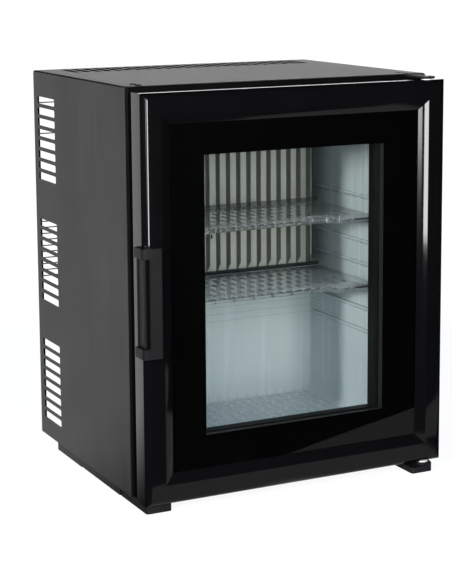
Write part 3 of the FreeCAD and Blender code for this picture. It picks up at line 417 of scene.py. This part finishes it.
# %% Give every node its finish
cold_low, cold_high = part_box("cold_sink")
rib_tip, plate_thickness = 0.0005, 0.005
finishes = {
    "shell_paint": cabinet_paint(),
    "zinc_steel": zinc_coat(),
    "hinge_paint": moulded("black_enamel", (0.004, 0.004, 0.004), (0.008, 0.008, 0.008), 0.5,
                            specular=0.15),
    "screw_steel": drawn_metal("blackened_steel", (0.07, 0.07, 0.075), 0.35),
    "pin_steel": drawn_metal("turned_steel", (0.3, 0.3, 0.3), 0.25, (1, 1, 30), 0.0006),
    # The third colour here is painted shade on the fin flanks.
    "sink_aluminium": blasted_metal("blasted_aluminium", (0.54, 0.545, 0.505),
                                    (0.62, 0.625, 0.575), (0.25, 0.255, 0.24),
                                    cold_low.y + rib_tip, cold_high.y - plate_thickness),
    "copper": drawn_metal("copper_tube", (0.75, 0.4, 0.27), 0.3, (0.01, 1, 1)),
    "module_ceramic": moulded("alumina_plate", (0.74, 0.74, 0.71), (0.8, 0.8, 0.78), 0.6),
    "liner_plastic": drawn_liner(),
    # The gutter's dark grey is painted shade for the gap under the fins.
    "gutter_plastic": moulded("gutter_painted_shade", (0.13, 0.14, 0.14), (0.18, 0.19, 0.19), 0.4,
                              0.0012, 0.00003),
    "black_plastic": moulded("etched_black", (0.001, 0.001, 0.001), (0.003, 0.003, 0.003), 0.6,
                              specular=0.05),
    "foot_plastic": moulded("foot_grey", (0.004, 0.004, 0.0045), (0.008, 0.008, 0.0085), 0.5,
                             specular=0.2),
    "door_gloss": polished_black(),
    "door_rear_plastic": moulded("door_lining", (0.004, 0.004, 0.0045), (0.007, 0.007, 0.0075),
                                  0.5, specular=0.15),
    "handle_plastic": moulded("handle_grip", (0.003, 0.003, 0.0033), (0.006, 0.006, 0.0064),
                               0.45, specular=0.14),
    "bush_plastic": moulded("bush_nylon", (0.66, 0.66, 0.62), (0.74, 0.74, 0.7), 0.4),
    "pane_glass": window_glass(),
    "print_enamel": moulded("black_glass_print", (0.0006,) * 3, (0.001,) * 3, 0.3,
                             specular=0.02),
    "spacer_black": moulded("dark_spacer", (0.004,) * 3, (0.008,) * 3, 0.6),
    "rubber_seal": moulded("black_seal", (0.008,) * 3, (0.014,) * 3, 0.6, 0.0008),
    "magnet_strip": moulded("ferrite_strip", (0.03, 0.026, 0.025), (0.05, 0.045, 0.043), 0.6),
    "foam": moulded("rigid_foam", (0.72, 0.62, 0.4), (0.82, 0.74, 0.53), 0.9, 0.0012,
                    0.0003),
    "shelf_acrylic": clear_plastic(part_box("lower_shelf")[1].y),
    "board_green": moulded("board_green", (0.01, 0.06, 0.025), (0.02, 0.1, 0.04), 0.4),
}
slot_of = {part["node"]: part["material_slot"] for part in frame["record"]["subparts"]}
for name, node in frame["nodes"].items():
    node.data.materials.clear()
    node.data.materials.append(finishes[slot_of[name]])
print("finishes:", len(finishes))

# %% [markdown]
# ## From arrays to meshes
#
# Each new surface is worked out as whole arrays of points. `add_piece` puts them into a mesh.
# `dress` then turns the faces outwards, marks the edges that should stay crisp, and ties the
# piece to its body and to the solid that it stands for.


# %% Put arrays into meshes
def add_piece(name, points, faces, body, slot, solids, crisp):
    """A finished piece from an array of points in metres and a list of faces."""
    mesh = bpy.data.meshes.new(name)
    mesh.from_pydata(np.asarray(points, float).tolist(), [], np.asarray(faces).tolist())
    return dress(name, mesh, body, slot, solids, crisp)


def dress(name, mesh, body, slot, solids, crisp):
    """Turn the faces outwards, smooth all but the crisp edges, and tie the piece to its body."""
    work = bmesh.new()
    work.from_mesh(mesh)
    bmesh.ops.remove_doubles(work, verts=work.verts, dist=0.002 * MM)
    bmesh.ops.recalc_face_normals(work, faces=work.faces)
    work.to_mesh(mesh)
    work.free()
    mesh.shade_smooth()
    mesh.set_sharp_from_angle(angle=math.radians(crisp))
    piece = bpy.data.objects.new(name, mesh)
    bpy.context.scene.collection.objects.link(piece)
    mesh.materials.clear()
    mesh.materials.append(finishes[slot])
    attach(piece, body)
    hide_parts(*solids)
    return piece


# %% [markdown]
# ## Soft edges on hard pieces
#
# No moulded or folded part has a knife edge, and a bright line along an edge is what tells the
# eye its size. A CAD solid arrives as loose triangles, so a copy is merged and its flat faces
# are joined first. A Bevel modifier then rounds whatever is left that is sharper
# than forty degrees.


# %% Round the edges of CAD pieces
body_of = {}
for body, names in frame["record"]["behaviour"]["bodies"].items():
    body_of.update({name: body for name in names})
sharp_angle, flat_angle = 40, 1


def soften(node, width):
    """A copy of a CAD node with its sharp edges rounded by width millimetres."""
    mesh = frame["nodes"][node].data.copy()
    mesh.name = node + "_soft"
    work = bmesh.new()
    work.from_mesh(mesh)
    bmesh.ops.remove_doubles(work, verts=work.verts, dist=0.004 * MM)
    bmesh.ops.dissolve_limit(work, angle_limit=math.radians(flat_angle), verts=work.verts,
                             edges=work.edges)
    work.to_mesh(mesh)
    work.free()
    piece = dress(node + "_soft", mesh, body_of[node], slot_of[node], [node], sharp_angle)
    bevel = piece.modifiers.new("soft edges", "BEVEL")
    bevel.width, bevel.segments = width * MM, 2
    bevel.limit_method, bevel.angle_limit = "ANGLE", math.radians(sharp_angle)
    bevel.harden_normals = True


edge_widths = {
    "outer_shell": 0.25, "front_frame": 0.5, "foot_front_left": 0.8, "foot_front_right": 0.6,
    "skid_left": 0.8, "skid_right": 0.8, "top_hinge_plate": 0.4, "lower_hinge_plate": 0.4,
    "handle_base": 0.3, "door_handle": 0.9, "upper_shelf": 0.8, "lower_shelf": 0.8,
    "drip_gutter": 0.3, "cold_sink": 0.3, "hot_sink": 0.3, "control_box": 0.6,
    "control_box_lid": 0.4, "mains_inlet": 0.4, "inner_glass": 0.3, "outer_glass": 0.3,
}
for node, width in edge_widths.items():
    soften(node, width)
print("pieces with softened edges:", len(edge_widths))

# %% [markdown]
# ## The handle's corner plate
#
# The front of the plate under the handle lies in the shade of the bow, and that shade is painted
# into it: there the colour is black and the surface matt. One piece can show both, because the
# change follows the piece's own X coordinate.


# %% Finish the handle's corner plate
shade_start, shade_fade = -0.2232, 0.0008


def shaded_plate():
    """The handle's etch up to a set X, and to the right of it a matt black that is painted shade.
    """
    finish = Finish("handle_plate")
    fine = finish.noise(0.0004, detail=2.0)
    unshaded = 1.0 - finish.axis("X").within(shade_start, shade_start + shade_fade)
    # Painted shade: right of the set X the colour is near black where the bow shades the plate.
    colour = finish.blend(unshaded, (0.0004, 0.0004, 0.0004), (0.006, 0.006, 0.0064))
    return finish.surface(base_color=colour, roughness=(0.95 - 0.5 * unshaded) + 0.05 * fine,
                          specular_ior_level=0.14, normal=finish.bump(fine, 0.00002))


bpy.data.objects["handle_base_soft"].data.materials[0] = shaded_plate()

# %% [markdown]
# ## The door moulding
#
# The moulding is one profile carried round a rectangle, mitred at the corners like a picture
# frame. Its flat border turns into an inward slope that ends at the glass. The profile is a
# polygon whose corners are replaced by arcs, and a point of it is two numbers: how far in from
# the door's edge it lies, and how far behind the face.


# %% Carry a profile round a rectangle
def round_corners(points, radii, steps):
    """Each corner of a closed outline becomes an arc that touches both of its sides. The arc's
    middle lies on the corner's bisector, and its points are as many as steps."""
    points = np.asarray(points, float)
    result = []
    for k, radius in enumerate(radii):
        here, before, after = points[k], points[k - 1], points[(k + 1) % len(points)]
        if not radius:
            result.append(here[None])
            continue
        one, two = before - here, after - here
        one, two = one / np.linalg.norm(one), two / np.linalg.norm(two)
        half = math.acos(np.clip(one @ two, -1, 1)) / 2
        middle = here + (one + two) / np.linalg.norm(one + two) * radius / math.sin(half)
        start, end = here + one * radius / math.tan(half), here + two * radius / math.tan(half)
        t = np.linspace(0, 1, steps)[:, None]
        arc = (start * (1 - t) + end * t) - middle
        result.append(middle + arc / np.linalg.norm(arc, axis=1, keepdims=True) * radius)
    return np.concatenate(result)


def ring(name, outline, slot, solids):
    """Mitred frame: every outline point (inset, depth) runs round the door's rectangle."""
    inset, depth = outline[:, 0] * MM, outline[:, 1] * MM
    x0, x1 = door_low.x + inset, door_high.x - inset
    z0, z1 = door_low.z + inset, door_high.z - inset
    y = door_front + depth
    turns = ((x0, z0), (x1, z0), (x1, z1), (x0, z1))
    corners = np.stack([np.stack([a, y, b], 1) for a, b in turns], 1)
    count = len(outline)
    i, k = np.meshgrid(np.arange(count), np.arange(4), indexing="ij")
    j, m = (i + 1) % count, (k + 1) % 4
    faces = np.stack([i * 4 + k, i * 4 + m, j * 4 + m, j * 4 + k], 2).reshape(-1, 4)
    piece = add_piece(name, corners.reshape(-1, 3), faces, "door", slot, solids, crisp=30)
    keep_mitres_crisp(piece.data)
    print(name, "has", len(faces), "faces")


def keep_mitres_crisp(mesh):
    """Every edge that doesn't run along one of the four sides lies in a mitre, and is marked."""
    place = np.empty(len(mesh.vertices) * 3)
    mesh.vertices.foreach_get("co", place)
    ends = np.empty(len(mesh.edges) * 2, int)
    mesh.edges.foreach_get("vertices", ends)
    crisp = np.empty(len(mesh.edges), bool)
    mesh.edges.foreach_get("use_edge_sharp", crisp)
    step = np.abs(np.diff(place.reshape(-1, 3)[ends.reshape(-1, 2)], axis=1))[:, 0]
    tiny = 0.001 * MM
    runs = (np.sort(step, axis=1)[:, 1] < tiny) & (step[:, 1] < tiny)
    mesh.edges.foreach_set("use_edge_sharp", crisp | ~runs)


moulding = round_corners(
    [(0, 0), (27, 0), (33.6, 3.2), (40, 7), (40, 8), (30.5, 8), (26, 3), (8.6, 3), (3, 8.6),
     (3, 33.3), (0, 33.3)], [8.6, 2.5, 60, 0.6, 0, 0, 0, 0, 0, 0.6, 0.6], 12)
ring("door_moulding", moulding, "door_gloss", ["door_frame"])

# %% [markdown]
# ## The magnetic seal
#
# Between the door and the cabinet sits a soft seal. Its foot is pushed into the door, its head
# holds the magnets, and the wall between them is folded like bellows so that it can
# stretch. From the front only a dark fold shows, but the folds catch light when the door is open.

# %% Fold the seal
seal = round_corners(
    [(25, 35.5), (39, 35.5), (36.6, 37.6), (38.6, 39.4), (36.4, 41.2), (39, 42.6), (39, 48.7),
     (25, 48.7), (25, 42.6), (27.6, 41.2), (25.4, 39.4), (27.4, 37.6)],
    [0.3, 0.3, 0.6, 0.6, 0.6, 0.8, 1.2, 1.2, 0.8, 0.6, 0.6, 0.6], 5)
ring("folded_seal", seal, "rubber_seal", ["door_gasket", "gasket_magnets"])

# %% [markdown]
# ## What the black door mirrors
#
# The fridge stands on white paper in a studio, and the black door mirrors what lies in front of
# it. The studio could be built wall by wall. It is shorter to give the floor a glow that only
# mirrored rays see. For them the room is white in a wedge behind the fridge and dark
# elsewhere, and the paper ends a hand's width in front of the door. Far off on the left the
# floor shines again, as it does in front of a lit doorway, and that draws the line on the
# right slope of the moulding.


# %% Draw what mirrors see
wedge_slope, wedge_fade = 0.84, 0.35


def wedge(x, y, start):
    """How far a point or a direction lies inside the bright wedge behind the fridge, 0 to 1."""
    return (y - wedge_slope * x.size()).within(start, start + wedge_fade)


sheet_end, sheet_turn, sheet_glow = -0.305, 0.405, 0.3
middle_x, middle_half, right_x, right_half, right_start = 0.02, 0.25, 0.37, 0.17, 0.32
doorway_course, doorway_start, doorway_glow = 0.56, 0.19, 10.0
doorway_near, doorway_reach, doorway_spread = 0.2, (0.4, 4.2), (0.03, 0.09)


def mirrored_floor(finish):
    """What mirrors see of the floor, from 0 to 1 + doorway_glow. The paper glows as far forward
    as y = sheet_end, and on the right that edge turns forward by sheet_turn. It does so in two
    patches, one round middle_x and one round right_x. The doorway's glow keeps to a line that
    runs away to the left, and grows with the cube of the distance."""
    x, y = finish.axis("X"), finish.axis("Y")
    forward = y + sheet_turn * x.most(0.0)
    front = forward.within(sheet_end - 0.002, sheet_end + 0.002)
    middle = (x - middle_x).size().within(middle_half + 0.02, middle_half - 0.02)
    right = (x - right_x).size().within(right_half + 0.02, right_half - 0.02)
    right = right * (0.0 - y).within(right_start - 0.01, right_start + 0.01)
    sheet = front * middle.most(right) * sheet_glow
    away = 0.0 - y - doorway_near
    offset = x + doorway_course * away - doorway_start
    aside = offset.maths("DIVIDE", offset, away.most(0.1))
    distance = away.within(*doorway_reach)
    doorway = (1.0 - aside.size().within(*doorway_spread)) * distance * distance * distance
    return sheet.most(wedge(x, y, -0.38)) + doorway_glow * doorway


# %% [markdown]
# ## The paper
#
# The camera sees plain white behind the fridge. Stronger lamps would make the paper white, but
# would wash out the fridge as well. So the paper glows by itself, and only for the camera.


# %% Lay the paper
shadow_share, shadow_reach = 0.14, (0.7, 1.5)


def white_paper():
    """Paper: white to the camera, and its own light for mirrors. The camera's white is a glow
    of its own, and the lamps' light and the fridge's shadow have a small share in it that
    fades out with the distance from the fridge."""
    finish = Finish("white_paper")
    x, y = finish.axis("X"), finish.axis("Y")
    fibre = finish.noise(0.002, detail=2.0)
    darker, lighter = (finish.node("ShaderNodeBsdfDiffuse", {"Color": (grey, grey, grey, 1)})
                       for grey in (0.44, 0.47))
    paper = finish.mix(fibre, darker, lighter)
    white = finish.node("ShaderNodeEmission", {"Strength": 1.06})
    lit = finish.node("ShaderNodeBsdfDiffuse", {"Color": (0.9, 0.9, 0.9, 1)})
    reach = (x * x + y * y).power(0.5).within(*shadow_reach)
    toned = finish.mix(1.0 - shadow_share + shadow_share * reach, lit, white)
    brightest = 1.0 + doorway_glow
    dark = finish.node("ShaderNodeEmission", {"Strength": 0.0})
    bright = finish.node("ShaderNodeEmission", {"Strength": brightest})
    image = finish.mix(mirrored_floor(finish) * (1.0 / brightest), dark, bright)
    both = finish.mix(finish.ray("Glossy"), paper, image)
    return finish.finish_with(finish.mix(finish.ray("Camera"), both, toned))


def flat_sheet(name, low, high, z, material):
    """A flat rectangle on the floor."""
    mesh = bpy.data.meshes.new(name)
    corners = [(low[0], low[1], z), (high[0], low[1], z), (high[0], high[1], z),
               (low[0], high[1], z)]
    mesh.from_pydata(corners, [], [(0, 1, 2, 3)])
    mesh.materials.append(material)
    sheet = bpy.data.objects.new(name, mesh)
    bpy.context.scene.collection.objects.link(sheet)
    print(name, "is %.0f m wide" % (high[0] - low[0]))


floor_half, floor_drop = 9, 0.2 * MM
flat_sheet("studio_floor", (-floor_half,) * 2, (floor_half,) * 2, -floor_drop, white_paper())

# %% [markdown]
# ## The room beyond the paper
#
# Past the end of the paper the camera sees the world, which is white too, and mirrors see the
# wedge go on. For all other light the world is a low fill, so that no side turns quite black.


# %% Light the room
fill_level, bent_level, behind_level = 0.34, 0.13, 0.5
backdrop_level, backdrop_right = 1.1, 2.0


def studio_world():
    """White for the camera, the bright wedge for mirrors, and a low fill for the rest. The fill
    is bluer from above, a little stronger for light that bends through the clear plastic, and
    stronger and neutral from behind. The wedge ends above the fridge."""
    world = bpy.data.worlds.new("studio")
    room = Finish("studio", world, "ShaderNodeOutputWorld")
    x, y, z = (room.axis(letter, "Generated") for letter in "XYZ")
    seen, glossy, bent = (room.ray(kind) for kind in ("Camera", "Glossy", "Transmission"))
    low = 1.0 - z.within(0.15, 0.25)
    brightness = backdrop_level + backdrop_right * x.within(0.0, 0.2)
    backdrop = wedge(x, y, -0.1) * low * brightness
    fill = fill_level + bent_level * bent + behind_level * y.within(0.2, 0.7)
    level = glossy * backdrop + (1.0 - glossy) * fill
    cool = room.blend(z.within(-0.1, 0.5), (0.74, 0.92, 1.12), (0.34, 0.84, 1.85))
    tint = room.blend(y.within(-0.4, 0.1), cool, (0.98, 1.0, 1.02))
    colour = room.blend(glossy.most(seen), tint, (1, 1, 1))
    background = {"Color": colour, "Strength": level.most(seen)}
    room.finish_with(room.node("ShaderNodeBackground", background))
    return world


bpy.context.scene.world = studio_world()

# %% [markdown]
# ## Lamps
#
# Large soft lamps have soft edges, so their mirror images on the black moulding fade instead of
# ending. The main one stands almost straight in front of the door and lights the compartment
# through the glass. A weaker one hangs higher on the left of it and fills the shadows, and a
# narrow strip far out on the left throws the lit patch on the right wall.


# %% Hang the lamps
def soft_lamp(name, azimuth, distance, heights, width, radiance):
    """An upright lamp that faces the door. The azimuth is seen from the door, in degrees to the
    right of straight ahead. The radiance is what the lamp's own surface shows, and in Blender
    that is a quarter of the lamp's watts per square metre."""
    data = bpy.data.lights.new(name, "AREA")
    height = heights[1] - heights[0]
    data.shape, data.size, data.size_y = "RECTANGLE", width, height
    data.energy = 4.0 * radiance * width * height
    lamp = bpy.data.objects.new(name, data)
    bpy.context.scene.collection.objects.link(lamp)
    turn = math.radians(azimuth)
    lamp.location = (distance * math.sin(turn), door_front - distance * math.cos(turn),
                     sum(heights) / 2)
    aim = Vector((0, door_front, lamp.location.z)) - lamp.location
    lamp.rotation_euler = aim.to_track_quat("-Z", "Y").to_euler()
    print(name, "has %.0f watts" % data.energy)


soft_lamp("key_lamp", -5, 1.6, (0.03, 1.1), 0.5, 13.1)
soft_lamp("wing_lamp", -33, 2.6, (0.75, 2.1), 0.5, 6.0)
soft_lamp("strip_lamp", -62.3, 2.41, (0.6, 0.95), 0.14, 330)

# %% [markdown]
# ## The camera
#
# The photograph was taken from the left and a little above, through a long lens. The picture was
# straightened afterwards, so its upright edges stay parallel. A small vertical shift of the
# lens gives part of that, and the camera looks down for the rest. Its place, turn and lens
# were fitted until the fridge's corners fell where the photograph has them.

# %% Set the camera
lens = bpy.data.cameras.new("camera")
lens.sensor_width, lens.lens = 36.0, 100.48
lens.shift_x, lens.shift_y = 0.0, -0.15
lens.clip_start, lens.clip_end = 0.05, 60
camera = bpy.data.objects.new("camera", lens)
bpy.context.scene.collection.objects.link(camera)
camera.location = (-1.0194, -2.0274, 0.7167)
camera.rotation_euler = tuple(math.radians(v) for v in (81.1888, 0.4042, -26.4127))
bpy.context.scene.camera = camera
bpy.context.scene.view_settings.view_transform = "Standard"
print("camera is %.2f m from the middle of the frame" % camera.location.length)
